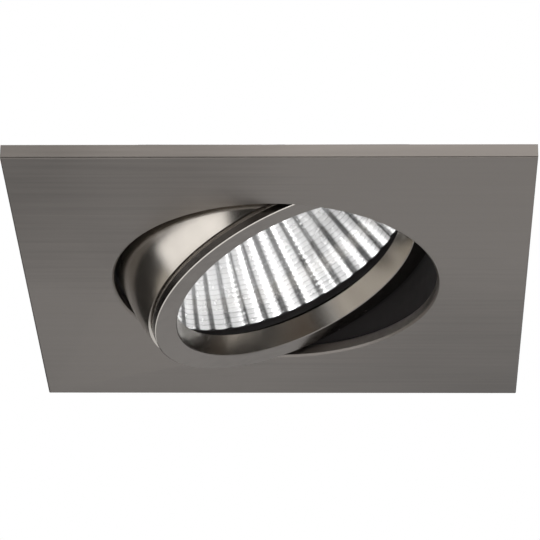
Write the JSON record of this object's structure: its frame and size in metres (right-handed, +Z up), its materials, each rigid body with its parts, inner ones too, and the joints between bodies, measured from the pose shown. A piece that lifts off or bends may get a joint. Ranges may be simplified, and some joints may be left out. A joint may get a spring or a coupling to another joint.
{
  "type": "soffit downlight",
  "caption": "Square recessed soffit downlight in satin nickel: a flat trim plate, a tilting round ring with a reflector lamp, sprung ceiling clips and a bayonet lampholder",
  "frame": {"origin": "centre of the trim plate's back face, which lies against the ceiling", "axes": "+Z goes up into the ceiling, and light leaves towards -Z. The ring tilts about Y, and the ceiling clips sit at -X and +X. The ring is stored tilted, its -X side out of the plate."},
  "size_m": [0.1152, 0.082, 0.0793],
  "materials": {
    "nickel_plate": "satin nickel plating on a die-cast plate",
    "nickel_ring": "satin nickel plating, brighter on the ball side and in the mouth",
    "drum_metal": "bare pressed aluminium",
    "plated_steel": "bright zinc plating",
    "clip_steel": "zinc-plated sprung strip",
    "spring_wire": "drawn spring steel wire",
    "clip_sleeve": "soft translucent sleeve",
    "fibre_washer": "vulcanised fibre",
    "earth_brass": "pressed brass tag",
    "contact_brass": "sprung brass",
    "reflector_glass": "pressed glass with a metal coating inside",
    "clear_glass": "clear glass",
    "quartz": "frosted quartz",
    "lamp_ceramic": "unglazed pressed ceramic",
    "holder_ceramic": "unglazed steatite",
    "pin_nickel": "nickel-plated pin"
  },
  "bodies": {
    "bezel": {"trim_plate": "nickel_plate", "mounting_drum": "drum_metal", "pivot_rivets": "plated_steel", "friction_washers": "fibre_washer", "earth_tag": "earth_brass", "earth_rivet": "plated_steel", "bracket_screws": "plated_steel", "clip_bracket_right": "plated_steel", "clip_bracket_left": "plated_steel", "clip_pin_right": "plated_steel", "clip_pin_left": "plated_steel", "clip_spring_right": "spring_wire", "clip_spring_left": "spring_wire"},
    "clip_right": {"clip_arm_right": "clip_steel", "clip_pad_right": "clip_sleeve"},
    "clip_left": {"clip_arm_left": "clip_steel", "clip_pad_left": "clip_sleeve"},
    "tilt": {"tilt_ring": "nickel_ring", "lamp_reflector": "reflector_glass", "lamp_front_glass": "clear_glass", "lamp_capsule": "quartz", "lamp_base": "lamp_ceramic", "lamp_pins": "pin_nickel", "lamp_clamp_wire": "spring_wire"},
    "holder": {"holder_body": "holder_ceramic", "holder_contacts": "contact_brass", "holder_cap": "holder_ceramic", "holder_screws": "plated_steel"}
  },
  "joints": [
    {"name": "ring_tilt", "type": "hinge", "parent": "bezel", "child": "tilt", "pos_m": [0, 0, 0.006], "axis": [0, -1, 0], "range_deg": [-54.5, 5.5]},
    {"name": "clip_right_swing", "type": "hinge", "parent": "bezel", "child": "clip_right", "pos_m": [0.0321, 0, 0.0068], "axis": [0, -1, 0], "range_deg": [0, 98], "stiffness_Nm_per_rad": 0.05, "springref_deg": -51.57, "deforming": ["clip_spring_right"]},
    {"name": "clip_left_swing", "type": "hinge", "parent": "bezel", "child": "clip_left", "pos_m": [-0.0321, 0, 0.0068], "axis": [0, 1, 0], "range_deg": [0, 98], "stiffness_Nm_per_rad": 0.05, "springref_deg": -51.57, "deforming": ["clip_spring_left"]},
    {"name": "holder_twist", "type": "hinge", "parent": "tilt", "child": "holder", "pos_m": [0, 0, 0.006], "axis": [-0.4147, 0, 0.91], "range_deg": [0, 18]}
  ]
}
